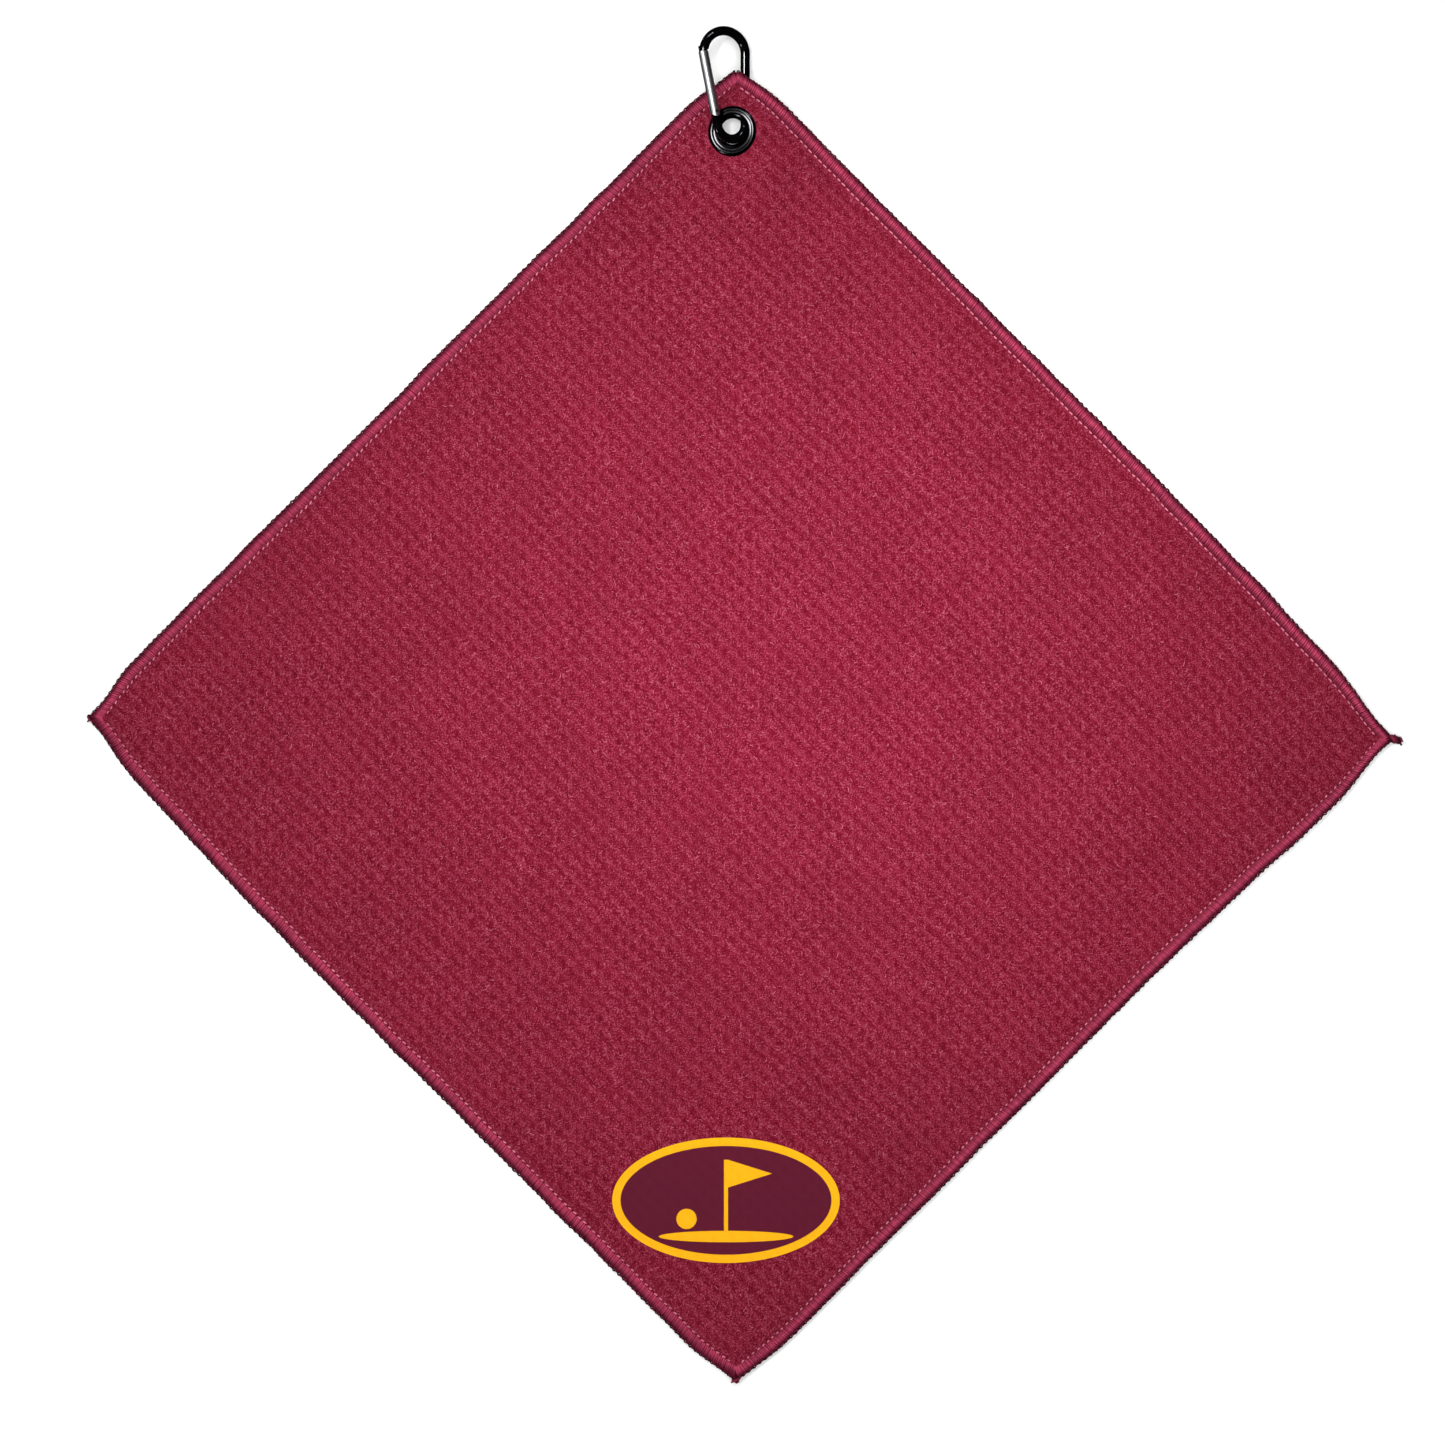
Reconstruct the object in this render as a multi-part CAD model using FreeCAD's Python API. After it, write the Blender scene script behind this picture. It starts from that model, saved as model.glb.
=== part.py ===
import FreeCAD
import Part
import math
import os

from FreeCAD import Placement, Rotation, Vector

# Golf towel: a square of waffle-weave cloth lying face up on one diagonal, with an overlocked
# edge, a printed badge near the bottom corner, and a spring-gate clip hung through a grommet
# in the top corner. Millimetres; the origin is the middle of the cloth's underside, +Y runs
# to the corner that holds the clip and +Z is the printed face.

# Cloth
cloth_side = 406.4        # edge to edge across the square
cloth_thick = 1.5
corner_draw = 6.0         # how far the edge thread draws each corner in, along its diagonal
tip_half_angle = 52.0     # so the corners are blunter than square
tip_radius = 7.0
smallest_tip = 0.5        # on lines well inside the edge
shoulder_radius = 150.0   # bend from the straight edge into the drawn-in corner

# Overlocked edge
hem_width = 5.0
hem_bulge = 0.9           # thicker than the cloth by this much
hem_wrap = 0.6            # thread outside the cut edge of the cloth
rim_thick = 1.0           # cloth squeezed inside the thread
rim_lift = 0.4            # thread under the cloth
needle_gap = 0.1          # from the looped edge to the straight row of needle stitches
needle_width = 0.8
needle_height = 0.3

# Thread left where each corner was sewn off
tail_radius = 0.8
right_tail_length = 6.5
bottom_tail_length = 2.2
left_tail_length = 1.6

# Printed badge: a gold film, and over it a dark film with windows
badge_x = -4.3
badge_inset = 76.7        # bottom corner to the middle of the badge
badge_length = 98.0
badge_height = 54.0
badge_border = 3.6
film_thick = 0.2
stick_width = 1.8
stick_top = 17.5
stick_foot = -14.0
flag_length = 19.0
flag_height = 12.0
ball_radius = 4.4
ball_x = -17.0
ball_y = -8.0
green_length = 58.0
green_height = 5.0

# Grommet
grommet_inset = 26.0      # corner to hole centre, along the diagonal
grommet_side = -1.5       # hole centre beside the diagonal
hole_slack = 2.6          # room for the wire to pass aslant, besides the cloth's thickness
barrel_wall = 0.4
flange_width = 5.3        # bore to outer edge
flange_rise = 0.8
crest_inset = 1.9         # outer edge to the crest of the flange
clamp_squeeze = 0.5       # cloth thickness lost between flange and washer
washer_inset = 0.5        # smaller than the flange all round
washer_thick = 0.5
washer_gap = 0.05
curl_thick = 0.3
curl_width = 1.5          # barrel's end turned out under the washer
pocket_gap = 0.05

# Lifted corner: the cloth climbs over the clip's straight side
ring_tilt = 18.0          # degrees, right side up
ring_floor_gap = 0.1      # low edge of the washer to the ground
ring_flat = 11.5          # half width of the plane part of the cloth round the grommet
lift_start = 46.0         # where the cloth leaves the ground, before the hole
lift_foot = 42.0          # where it is down again, right of the hole
tip_beyond = 30.0         # last section, past the hole
tip_drop = 1.5            # how much lower the cloth is there

# Clip body: round wire bent to a pear
wire_radius = 2.0
clip_roll = 22.0          # degrees, gate side up, straight side on the ground
top_bend = 9.6            # radius of the wire's centreline
bottom_bend = 6.4
bend_spacing = 30.6       # between the centres of the two bends
seat_gap = 0.3            # wire to the barrel at the bottom of the hole

# Gate, measured along its own line from the end of the bottom bend
gate_over_wire = 0.1      # gate radius above the wire's
hinge_along = 6.7
gate_past_bend = 2.5      # gate end beyond the start of the top bend
gate_end_gap = 0.35
gate_open = 22.0          # degrees
fork_gap = 0.1
fork_depth = 2.4          # slot beyond the rivet
tang_thick = 1.6
tang_inset = 0.3          # narrower than the wire on each side
tang_end = 1.6            # flat end of the hinge tang beyond the rivet
tang_end_half_width = 1.2
tang_shoulder = 0.9
rivet_radius = 0.8
rivet_gap = 0.05
rivet_proud = 0.15
latch_radius = 0.5
latch_inset = 1.2         # pin to gate end
latch_recess = 0.35       # pin ends inside the gate's skin
latch_gap = 0.2
nose_inset = 0.4
nose_length = 3.0
nose_slot_gap = 0.6       # past the nose, inside the gate

# Spring and plunger inside the gate
bore_radius = 1.0
bore_end = 12.0           # beyond the rivet
plunger_gap = 0.08
plunger_end_gap = 0.05    # to the tang's corner with the gate open
plunger_length = 3.4
spring_wire = 0.14        # radius
spring_play = 0.14
spring_pitch = 0.7
spring_gap = 0.05         # at each end of the coil

# How far the trimming solids reach past the towel
reach = 400.0
trim_low = -10.0
trim_high = 30.0

# Worked-out sizes and places
tilt = math.radians(ring_tilt)
roll = math.radians(clip_roll)
open_turn = math.radians(gate_open)
tip_angle = math.radians(tip_half_angle)
tip_reach = cloth_side / math.sqrt(2) - corner_draw
hem_thick = cloth_thick + hem_bulge
badge_y = badge_inset - tip_reach
clamp_thick = cloth_thick - clamp_squeeze
barrel_bore = wire_radius + clamp_thick + hole_slack
barrel_outer = barrel_bore + barrel_wall
flange_radius = barrel_bore + flange_width
crest_radius = flange_radius - crest_inset
washer_radius = flange_radius - washer_inset
curl_radius = barrel_outer + curl_width
grommet_x = grommet_side
grommet_y = tip_reach - grommet_inset
ring_low = clamp_thick / 2 + washer_thick + curl_thick
ring_mid = ring_floor_gap + ring_low * math.cos(tilt) + washer_radius * math.sin(tilt)
taper = math.asin((top_bend - bottom_bend) / bend_spacing)
side_length = bend_spacing * math.cos(taper)
bend_height = wire_radius + bottom_bend * math.sin(roll)
bend_x = grommet_x + (bend_height - ring_mid) / math.tan(tilt)
bend_y = grommet_y - (barrel_bore - wire_radius - seat_gap) + bottom_bend
gate_radius = wire_radius + gate_over_wire
tang_half_width = wire_radius - tang_inset
nose_half_width = wire_radius - nose_inset
plunger_radius = bore_radius - plunger_gap
spring_radius = bore_radius - spring_wire - spring_play
gate_end = side_length + gate_past_bend
latch_along = gate_end - latch_inset
nose_cut = gate_end + gate_end_gap
tang_push = tang_end * math.cos(open_turn) + tang_end_half_width * math.sin(open_turn)
plunger_start = hinge_along + tang_push + plunger_end_gap
plunger_back = plunger_start + plunger_length
fork_thick = tang_thick + 2 * fork_gap

x_axis = Vector(1, 0, 0)
y_axis = Vector(0, 1, 0)
z_axis = Vector(0, 0, 1)

ring_place = Placement(Vector(grommet_x, grommet_y, ring_mid), Rotation(y_axis, -ring_tilt))
clip_turn = Rotation(y_axis, clip_roll).multiply(Rotation(z_axis, math.degrees(taper)))
clip_place = Placement(Vector(bend_x, bend_y, bend_height), clip_turn)
# The gate's own frame: x into the clip, y along the gate, z square to the clip
left_bend_end = Vector(-bottom_bend * math.cos(taper), -bottom_bend * math.sin(taper), 0)
gate_place = clip_place.multiply(Placement(left_bend_end, Rotation(z_axis, math.degrees(taper))))


def placed(shape, place):
    moved = shape.copy()
    moved.Placement = place.multiply(moved.Placement)
    return moved


def raised(shape, height):
    return placed(shape, Placement(z_axis * height, Rotation()))


def cylinder(radius, start, end, direction):
    """A cylinder from start to end, which are distances along direction from the origin."""
    return Part.makeCylinder(radius, end - start, direction * start, direction)


def polygon(points):
    corners = [Vector(x, y, 0) for x, y in points]
    return Part.Face(Part.makePolygon(corners + corners[:1]))


def ellipse(length, height, x=0.0, y=0.0):
    curve = Part.Ellipse(Vector(x, y, 0), length / 2, height / 2)
    return Part.Face(Part.Wire(curve.toShape()))


def disc(radius, x, y):
    return Part.Face(Part.Wire(Part.makeCircle(radius, Vector(x, y, 0))))


def edge_lines(inset):
    """The outline's straight lines in order, each as the angle and distance of its normal."""
    sharp_tip = tip_reach + tip_radius * (1 / math.sin(tip_angle) - 1)
    tip_line = sharp_tip * math.sin(tip_angle) - inset
    side_line = cloth_side / 2 - inset
    lines = []
    for quarter in range(4):
        corner = math.radians(90 * quarter)
        lines.append((corner - math.pi / 2 + tip_angle, tip_line))
        lines.append((corner + math.pi / 2 - tip_angle, tip_line))
        lines.append((corner + math.pi / 4, side_line))
    return lines


def crossing(first, second):
    a, p = first
    b, q = second
    area = math.sin(b - a)
    x = (p * math.sin(b) - q * math.sin(a)) / area
    y = (q * math.cos(a) - p * math.cos(b)) / area
    return x, y


def upright(edge):
    start, end = (v.Point for v in edge.Vertexes)
    return abs(start.z - end.z) > (trim_high - trim_low) / 2


def at_tip(edge):
    foot = edge.Vertexes[0].Point
    return min(abs(foot.x), abs(foot.y)) < tip_radius


def outline(inset):
    """A tall prism of the towel's outline, all its sides moved in by inset."""
    lines = edge_lines(inset)
    corners = [crossing(lines[k], lines[(k + 1) % len(lines)]) for k in range(len(lines))]
    prism = raised(polygon(corners).extrude(z_axis * (trim_high - trim_low)), trim_low)
    shoulders = [edge for edge in prism.Edges if upright(edge) and not at_tip(edge)]
    prism = prism.makeFillet(shoulder_radius - inset, shoulders)
    tips = [edge for edge in prism.Edges if len(edge.Vertexes) == 2 and upright(edge) and at_tip(edge)]
    return prism.makeFillet(max(tip_radius - inset, smallest_tip), tips)


def underside(mid):
    """x and z of the cloth's underside on one section; mid is its mid height at the hole."""
    rise = math.tan(tilt)
    under = mid - cloth_thick / 2
    return [
        (-reach, 0.0),
        (grommet_x - under / rise, 0.0),
        (grommet_x + ring_flat, under + ring_flat * rise),
        (grommet_x + lift_foot, 0.0),
        (reach, 0.0),
    ]


def section(y, line, low, high):
    below = [Vector(x, y, z + low) for x, z in line]
    above = [Vector(x, y, z + high) for x, z in reversed(line)]
    return Part.makePolygon(below + above + below[:1])


def layer(low, high):
    """A wide sheet that follows the cloth, from low to high above its underside."""
    start = grommet_y - lift_start
    flat = Part.makeBox(2 * reach, reach + start, high - low, Vector(-reach, -reach, low))
    on_ring = underside(ring_mid)
    grounded = [(x, 0.0) for x, z in on_ring]
    last = underside(ring_mid - tip_drop)
    lines = [
        section(start, grounded, low, high),
        section(grommet_y - ring_flat, on_ring, low, high),
        section(grommet_y + ring_flat, on_ring, low, high),
        section(grommet_y + tip_beyond, last, low, high),
    ]
    return flat.fuse(Part.makeLoft(lines, True, True)).removeSplitter()


def band(outer_inset, inner_inset):
    return outline(outer_inset).cut(outline(inner_inset))


def quarter_of(shape, quarter):
    """The part of shape between two corners; quarter 0 is the upper right edge."""
    turn = math.radians(90 * quarter)
    first = (reach * math.cos(turn), reach * math.sin(turn))
    second = (-reach * math.sin(turn), reach * math.cos(turn))
    wedge = polygon([(0, 0), first, second]).extrude(z_axis * (trim_high - trim_low))
    return shape.common(raised(wedge, trim_low))


def towel_panel():
    inner = layer(0, cloth_thick).common(outline(hem_width))
    rim = layer(rim_lift, rim_lift + rim_thick).common(outline(hem_wrap))
    cloth = inner.fuse(rim)
    cuts = [
        cylinder(barrel_outer, -trim_high, trim_high, z_axis),
        cylinder(flange_radius + pocket_gap, clamp_thick / 2, trim_high, z_axis),
        cylinder(washer_radius + pocket_gap, -trim_high, -clamp_thick / 2, z_axis),
    ]
    for cut in cuts:
        cloth = cloth.cut(placed(cut, ring_place))
    return cloth.removeSplitter()


def overlock_edges(panel):
    hem = layer(0, hem_thick).common(band(0, hem_width)).cut(panel)
    return [quarter_of(hem, quarter) for quarter in range(4)]


def needle_rows():
    outer = hem_width + needle_gap
    row = layer(cloth_thick, cloth_thick + needle_height).common(band(outer, outer + needle_width))
    return [quarter_of(row, quarter) for quarter in range(4)]


def thread_tail(direction, length):
    """Chained thread running off a corner, cut back to the outside of the edge."""
    middle = z_axis * (hem_thick / 2)
    start = direction * (tip_reach - hem_width) + middle
    tail = Part.makeCylinder(tail_radius, hem_width + length, start, direction)
    return tail.cut(layer(0, hem_thick).common(outline(0)))


def badge_backing():
    film = ellipse(badge_length, badge_height).extrude(z_axis * film_thick)
    return placed(film, Placement(Vector(badge_x, badge_y, cloth_thick), Rotation()))


def badge_field():
    """The dark film: its windows show a flag, a ball and a green in the gold below."""
    field = ellipse(badge_length - 2 * badge_border, badge_height - 2 * badge_border)
    half = stick_width / 2
    stick = polygon([(-half, stick_foot), (half, stick_foot), (half, stick_top), (-half, stick_top)])
    flag_tip = (half + flag_length, stick_top - flag_height / 2)
    flag = polygon([(half, stick_top), flag_tip, (half, stick_top - flag_height)])
    ball = disc(ball_radius, ball_x, ball_y)
    green = ellipse(green_length, green_height, 0, stick_foot - green_height / 2 + half)
    windows = stick.fuse([flag, ball, green])
    film = field.cut(windows).extrude(z_axis * film_thick)
    return placed(film, Placement(Vector(badge_x, badge_y, cloth_thick + film_thick), Rotation()))


def revolved(edges):
    face = Part.Face(Part.Wire(Part.__sortEdges__(edges)))
    return placed(face.revolve(Vector(), z_axis, 360), ring_place)


def shoulder_of(foot, crest):
    """A point that rounds the rise from a steep foot to a level crest."""
    return foot + Vector((crest.x - foot.x) * 0.25, 0, (crest.z - foot.z) * 0.66)


def grommet_front():
    half = clamp_thick / 2
    top = half + flange_rise
    washer_low = -half - washer_thick
    low = washer_low - curl_thick

    def at(radius, height):
        return Vector(radius, 0, height)

    waist = at(barrel_bore, 0)
    lip = at((barrel_outer + curl_radius) / 2, low)
    crest = at(crest_radius, top)
    outer_arc = Part.Arc(at(flange_radius, half), shoulder_of(at(flange_radius, half), crest), crest)
    inner_arc = Part.Arc(crest, shoulder_of(waist, crest), waist)
    lower_arc = Part.Arc(waist, shoulder_of(waist, lip), lip)
    corners = [
        lip,
        at(curl_radius, low),
        at(curl_radius, washer_low),
        at(barrel_outer, washer_low),
        at(barrel_outer, half),
        at(flange_radius, half),
    ]
    edges = [outer_arc.toShape(), inner_arc.toShape(), lower_arc.toShape()]
    edges += [Part.makeLine(a, b) for a, b in zip(corners, corners[1:])]
    return revolved(edges)


def grommet_washer():
    top = -clamp_thick / 2
    ring = cylinder(washer_radius, top - washer_thick, top, z_axis)
    ring = ring.cut(cylinder(barrel_outer + washer_gap, -trim_high, trim_high, z_axis))
    return placed(ring, ring_place)


def clip_wire():
    """Round wire over the top bend, down the straight side and round the bottom bend."""
    left = Vector(-math.cos(taper), -math.sin(taper), 0)
    right = Vector(math.cos(taper), -math.sin(taper), 0)
    top = y_axis * bend_spacing
    top_left = top + left * top_bend
    top_right = top + right * top_bend
    bottom_right = right * bottom_bend
    bottom_left = left * bottom_bend
    along = (top_left - bottom_left).normalize()
    wire_end = bottom_left + along * (hinge_along - gate_radius - gate_end_gap)
    path = Part.Wire([
        Part.Arc(top_left, top + y_axis * top_bend, top_right).toShape(),
        Part.makeLine(top_right, bottom_right),
        Part.Arc(bottom_right, -y_axis * bottom_bend, bottom_left).toShape(),
        Part.makeLine(bottom_left, wire_end),
    ])
    profile = Part.Wire(Part.makeCircle(wire_radius, top_left, along))
    wire = placed(path.makePipeShell([profile], True, True), clip_place)
    # The nose is cut square to the gate, so that the gate's end can swing past it
    low = side_length - 2 * wire_radius
    corner = Vector(-2 * wire_radius, low, -2 * wire_radius)
    trim = Part.makeBox(4 * wire_radius, nose_cut - low, 4 * wire_radius, corner)
    return wire.cut(placed(trim, gate_place))


def along_gate(shape, distance):
    """Moves a shape up the gate's line, in the gate's own frame."""
    return placed(shape, Placement(y_axis * distance, Rotation()))


def flat_piece(points, thick):
    """A plate of this outline, centred on the plane of the clip."""
    return raised(polygon(points).extrude(z_axis * thick), -thick / 2)


def hinge_tang():
    start = hinge_along - gate_radius - gate_end_gap - wire_radius
    points = [
        (-tang_half_width, start),
        (tang_half_width, start),
        (tang_half_width, hinge_along + tang_shoulder),
        (tang_end_half_width, hinge_along + tang_end),
        (-tang_end_half_width, hinge_along + tang_end),
        (-tang_half_width, hinge_along + tang_shoulder),
    ]
    hole = cylinder(rivet_radius + rivet_gap, -tang_thick, tang_thick, z_axis)
    return flat_piece(points, tang_thick).cut(along_gate(hole, hinge_along))


def nose_tang():
    """The hooked nose: its notch opens into the clip and holds the gate's pin."""
    start = nose_cut - nose_length
    end = nose_cut + wire_radius
    half = nose_half_width
    notch = latch_radius + latch_gap
    seat = along_gate(cylinder(notch, -tang_thick, tang_thick, z_axis), latch_along)
    mouth = Part.makeBox(2 * wire_radius, 2 * notch, 2 * tang_thick,
                         Vector(0, latch_along - notch, -tang_thick))
    nose = flat_piece([(-half, start), (half, start), (half, end), (-half, end)], tang_thick)
    return nose.cut([seat, mouth])


def carabiner_body():
    tangs = [placed(tang, gate_place) for tang in (hinge_tang(), nose_tang())]
    return clip_wire().fuse(tangs).removeSplitter()


def gate():
    rod = cylinder(gate_radius, hinge_along, gate_end, y_axis)
    knuckle = along_gate(cylinder(gate_radius, -gate_radius, gate_radius, z_axis), hinge_along)
    foot = cylinder(gate_radius, hinge_along - gate_radius, hinge_along, y_axis)
    rod = rod.fuse(foot.common(knuckle))
    width = 2 * gate_radius

    def slot(start, end):
        return Part.makeBox(2 * width, end - start, fork_thick, Vector(-width, start, -fork_thick / 2))

    latch_half = gate_radius - latch_recess
    cuts = [
        slot(hinge_along - width, hinge_along + fork_depth),
        slot(nose_cut - nose_length - nose_slot_gap, gate_end + width),
        cylinder(bore_radius, hinge_along + tang_end_half_width, hinge_along + bore_end, y_axis),
        along_gate(cylinder(rivet_radius, -width, width, z_axis), hinge_along),
        along_gate(cylinder(latch_radius, -latch_half, latch_half, z_axis), latch_along),
    ]
    return placed(rod.cut(cuts), gate_place)


def hinge_rivet():
    half = gate_radius + rivet_proud
    rivet = cylinder(rivet_radius, -half, half, z_axis)
    ends = [edge for edge in rivet.Edges if edge.Closed]
    return placed(along_gate(rivet.makeChamfer(rivet_proud, ends), hinge_along), gate_place)


def latch_pin():
    half = gate_radius - latch_recess
    return placed(along_gate(cylinder(latch_radius, -half, half, z_axis), latch_along), gate_place)


def spring_plunger():
    """The plunger as far into the gate as the tang's corner pushes it when the gate opens."""
    return placed(cylinder(plunger_radius, plunger_start, plunger_back, y_axis), gate_place)


def gate_spring():
    """The coil as long as it is with the gate open, against the end of its bore."""
    low = plunger_back + spring_gap + spring_wire
    high = hinge_along + bore_end - spring_gap - spring_wire
    helix = Part.makeHelix(spring_pitch, high - low, spring_radius)
    start = Vector(spring_radius, 0, 0)
    climb = Vector(0, 2 * math.pi * spring_radius, spring_pitch)
    profile = Part.Wire(Part.makeCircle(spring_wire, start, climb))
    coil = Part.Wire(helix.Edges).makePipeShell([profile], True, True)
    return placed(coil, gate_place.multiply(Placement(y_axis * low, Rotation(x_axis, -90))))


def build():
    panel = towel_panel()
    edges = overlock_edges(panel)
    rows = needle_rows()
    sides = ["upper_right", "upper_left", "lower_left", "lower_right"]
    parts = {"towel_panel": panel}
    for side, edge, row in zip(sides, edges, rows):
        parts["overlock_" + side] = edge
        parts["needle_row_" + side] = row
    parts["thread_tail_right"] = thread_tail(x_axis, right_tail_length)
    parts["thread_tail_bottom"] = thread_tail(-y_axis, bottom_tail_length)
    parts["thread_tail_left"] = thread_tail(-x_axis, left_tail_length)
    parts["badge_backing"] = badge_backing()
    parts["badge_field"] = badge_field()
    parts["grommet_front"] = grommet_front()
    parts["grommet_washer"] = grommet_washer()
    parts["carabiner_body"] = carabiner_body()
    parts["gate"] = gate()
    parts["hinge_rivet"] = hinge_rivet()
    parts["latch_pin"] = latch_pin()
    parts["spring_plunger"] = spring_plunger()
    parts["gate_spring"] = gate_spring()
    return parts


parts = build()
os.makedirs("parts", exist_ok=True)
for name, shape in parts.items():
    shape.exportStep("parts/" + name + ".step")
    box = shape.BoundBox
    print("%-24s solids %d  valid %s  volume %10.2f  z %.2f to %.2f"
          % (name, len(shape.Solids), shape.isValid(), shape.Volume, box.ZMin, box.ZMax))
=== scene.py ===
import bisect
import math
import random

import bmesh
import bpy
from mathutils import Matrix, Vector, noise


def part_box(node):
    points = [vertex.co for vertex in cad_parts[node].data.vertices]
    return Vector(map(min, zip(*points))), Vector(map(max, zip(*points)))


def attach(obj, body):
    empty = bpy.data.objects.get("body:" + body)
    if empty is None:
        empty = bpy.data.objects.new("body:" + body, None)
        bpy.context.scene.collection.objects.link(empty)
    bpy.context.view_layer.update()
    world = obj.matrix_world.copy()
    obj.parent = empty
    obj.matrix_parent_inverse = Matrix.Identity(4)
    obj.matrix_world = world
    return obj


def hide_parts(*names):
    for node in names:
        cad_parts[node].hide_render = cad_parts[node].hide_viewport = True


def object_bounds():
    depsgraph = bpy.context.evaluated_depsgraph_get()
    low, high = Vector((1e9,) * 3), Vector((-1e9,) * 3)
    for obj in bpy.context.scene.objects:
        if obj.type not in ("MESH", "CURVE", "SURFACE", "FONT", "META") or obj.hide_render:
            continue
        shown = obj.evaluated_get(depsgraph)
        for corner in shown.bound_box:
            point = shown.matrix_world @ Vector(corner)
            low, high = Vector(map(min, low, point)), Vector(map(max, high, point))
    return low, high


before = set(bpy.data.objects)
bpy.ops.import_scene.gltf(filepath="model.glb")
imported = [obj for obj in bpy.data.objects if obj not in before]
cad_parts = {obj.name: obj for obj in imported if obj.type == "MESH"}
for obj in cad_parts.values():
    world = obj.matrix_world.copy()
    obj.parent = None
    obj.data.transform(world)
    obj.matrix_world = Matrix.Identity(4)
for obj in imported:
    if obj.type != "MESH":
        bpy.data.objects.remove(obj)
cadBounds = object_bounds()
mm = 0.001
scene = bpy.context.scene
scene.view_settings.view_transform = "Standard"
print("frame loaded")


def colour(r, g, b):
    # 0-255 as picked on screen, to the linear values that shaders want
    def channel(c):
        c /= 255
        return c / 12.92 if c <= 0.04045 else ((c + 0.055) / 1.055) ** 2.4
    return (channel(r), channel(g), channel(b), 1.0)


def smooth(t):
    t = min(max(t, 0.0), 1.0)
    return t * t * (3 - 2 * t)


def mix(a, b, t):
    return a + (b - a) * t


# camera, floor and lights

studio = {
    "lookAt": (-5.8 * mm, 1.1 * mm),
    "cameraHeight": 2.2,
    "frameWidth": 622.8 * mm,
    "sensor": 36,
    "floorSize": 14.0,
    "floorGap": 0.1 * mm,
    "worldStrength": 0.55,
    "spotPlace": (0.035, 0.05, 1.5),
    "spotCone": 20.0,       # degrees
    "spotSize": 0.12,
    "spotPower": 80.0,
    "boxAim": (0, 0.1, 0),
    "glintAim": (0, 0.25, 0),
    "boxes": [              # soft boxes: place, width, height and power
        ((-0.8, 1.1, 1.5), 1.0, 1.0, 3.5),
        ((1.2, -0.3, 1.5), 1.0, 1.0, 6.0),
        ((0.2, -1.1, 1.4), 1.0, 1.0, 6.5),
        ((-0.5, 0.45, 1.15), 0.3, 0.1, 4.0),
        ((-1.25, -0.25, 0.85), 0.4, 0.22, 7.0),
        ((0.15, 1.2, 1.0), 0.4, 0.05, 2.6),
    ],
    "glints": [             # seen only in the metal, which stays black between them
        ((-0.5, 0.5, 1.15), 0.3, 0.3, 32.0),
        ((-1.25, -0.5, 0.8), 0.24, 0.14, 9.0),
        ((0.15, 1.2, 1.0), 0.5, 0.06, 8.0),
    ],
}

cameraData = bpy.data.cameras.new("camera")
camera = bpy.data.objects.new("camera", cameraData)
scene.collection.objects.link(camera)
camera.location = (*studio["lookAt"], studio["cameraHeight"])
cameraData.sensor_width = studio["sensor"]
cameraData.lens = cameraData.sensor_width * studio["cameraHeight"] / studio["frameWidth"]
cameraData.clip_end = 50
scene.camera = camera

floorMesh = bpy.data.meshes.new("floor")
bm = bmesh.new()
bmesh.ops.create_grid(bm, x_segments=8, y_segments=8, size=studio["floorSize"] / 2)
bmesh.ops.translate(bm, verts=bm.verts, vec=(0, 0, cadBounds[0].z - studio["floorGap"]))
bm.to_mesh(floorMesh)
bm.free()
floor = bpy.data.objects.new("floor", floorMesh)
floor.visible_glossy = False
scene.collection.objects.link(floor)

world = bpy.data.worlds.new("world")
scene.world = world
world.use_nodes = True
world.cycles_visibility.glossy = False
sky = world.node_tree.nodes["Background"]
sky.inputs["Color"].default_value = (1, 1, 1, 1)
sky.inputs["Strength"].default_value = studio["worldStrength"]


def addLight(name, kind, place, aim, power, width, height=0.0):
    data = bpy.data.lights.new(name, kind)
    data.energy = power
    if kind == "AREA":
        data.shape = "RECTANGLE"
        data.size, data.size_y = width, height
    else:
        data.shadow_soft_size = width
        data.spot_size = math.radians(studio["spotCone"])
        data.spot_blend = 1.0
    lamp = bpy.data.objects.new(name, data)
    lamp.location = place
    lamp.rotation_mode = "QUATERNION"
    lamp.rotation_quaternion = (Vector(aim) - Vector(place)).to_track_quat("-Z", "Y")
    lamp.visible_camera = False
    scene.collection.objects.link(lamp)
    return lamp


spotX, spotY = studio["spotPlace"][:2]
spot = addLight("spot", "SPOT", studio["spotPlace"], (spotX, spotY, 0), studio["spotPower"], studio["spotSize"])
spot.visible_glossy = False
for k, (place, width, height, power) in enumerate(studio["boxes"]):
    lamp = addLight(f"softBox{k}", "AREA", place, studio["boxAim"], power, width, height)
    lamp.visible_glossy = False
for k, (place, width, height, power) in enumerate(studio["glints"]):
    lamp = addLight(f"glint{k}", "AREA", place, studio["glintAim"], power, width, height)
    lamp.visible_diffuse = False
print("studio ready")


# node helpers and shared groups

def newNode(tree, kind, inputs=None, **settings):
    node = tree.nodes.new(kind)
    for key, value in settings.items():
        setattr(node, key, value)
    for key, value in (inputs or {}).items():
        if isinstance(value, bpy.types.NodeSocket):
            tree.links.new(value, node.inputs[key])
        else:
            node.inputs[key].default_value = value
    return node


def maths(tree, operation, a, b=0.0, c=0.0, clamp=False):
    node = newNode(tree, "ShaderNodeMath", {0: a, 1: b, 2: c}, operation=operation, use_clamp=clamp)
    return node.outputs[0]


def vectorMaths(tree, operation, a, b):
    second = "Scale" if operation == "SCALE" else 1
    return newNode(tree, "ShaderNodeVectorMath", {0: a, second: b}, operation=operation).outputs[0]


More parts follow.
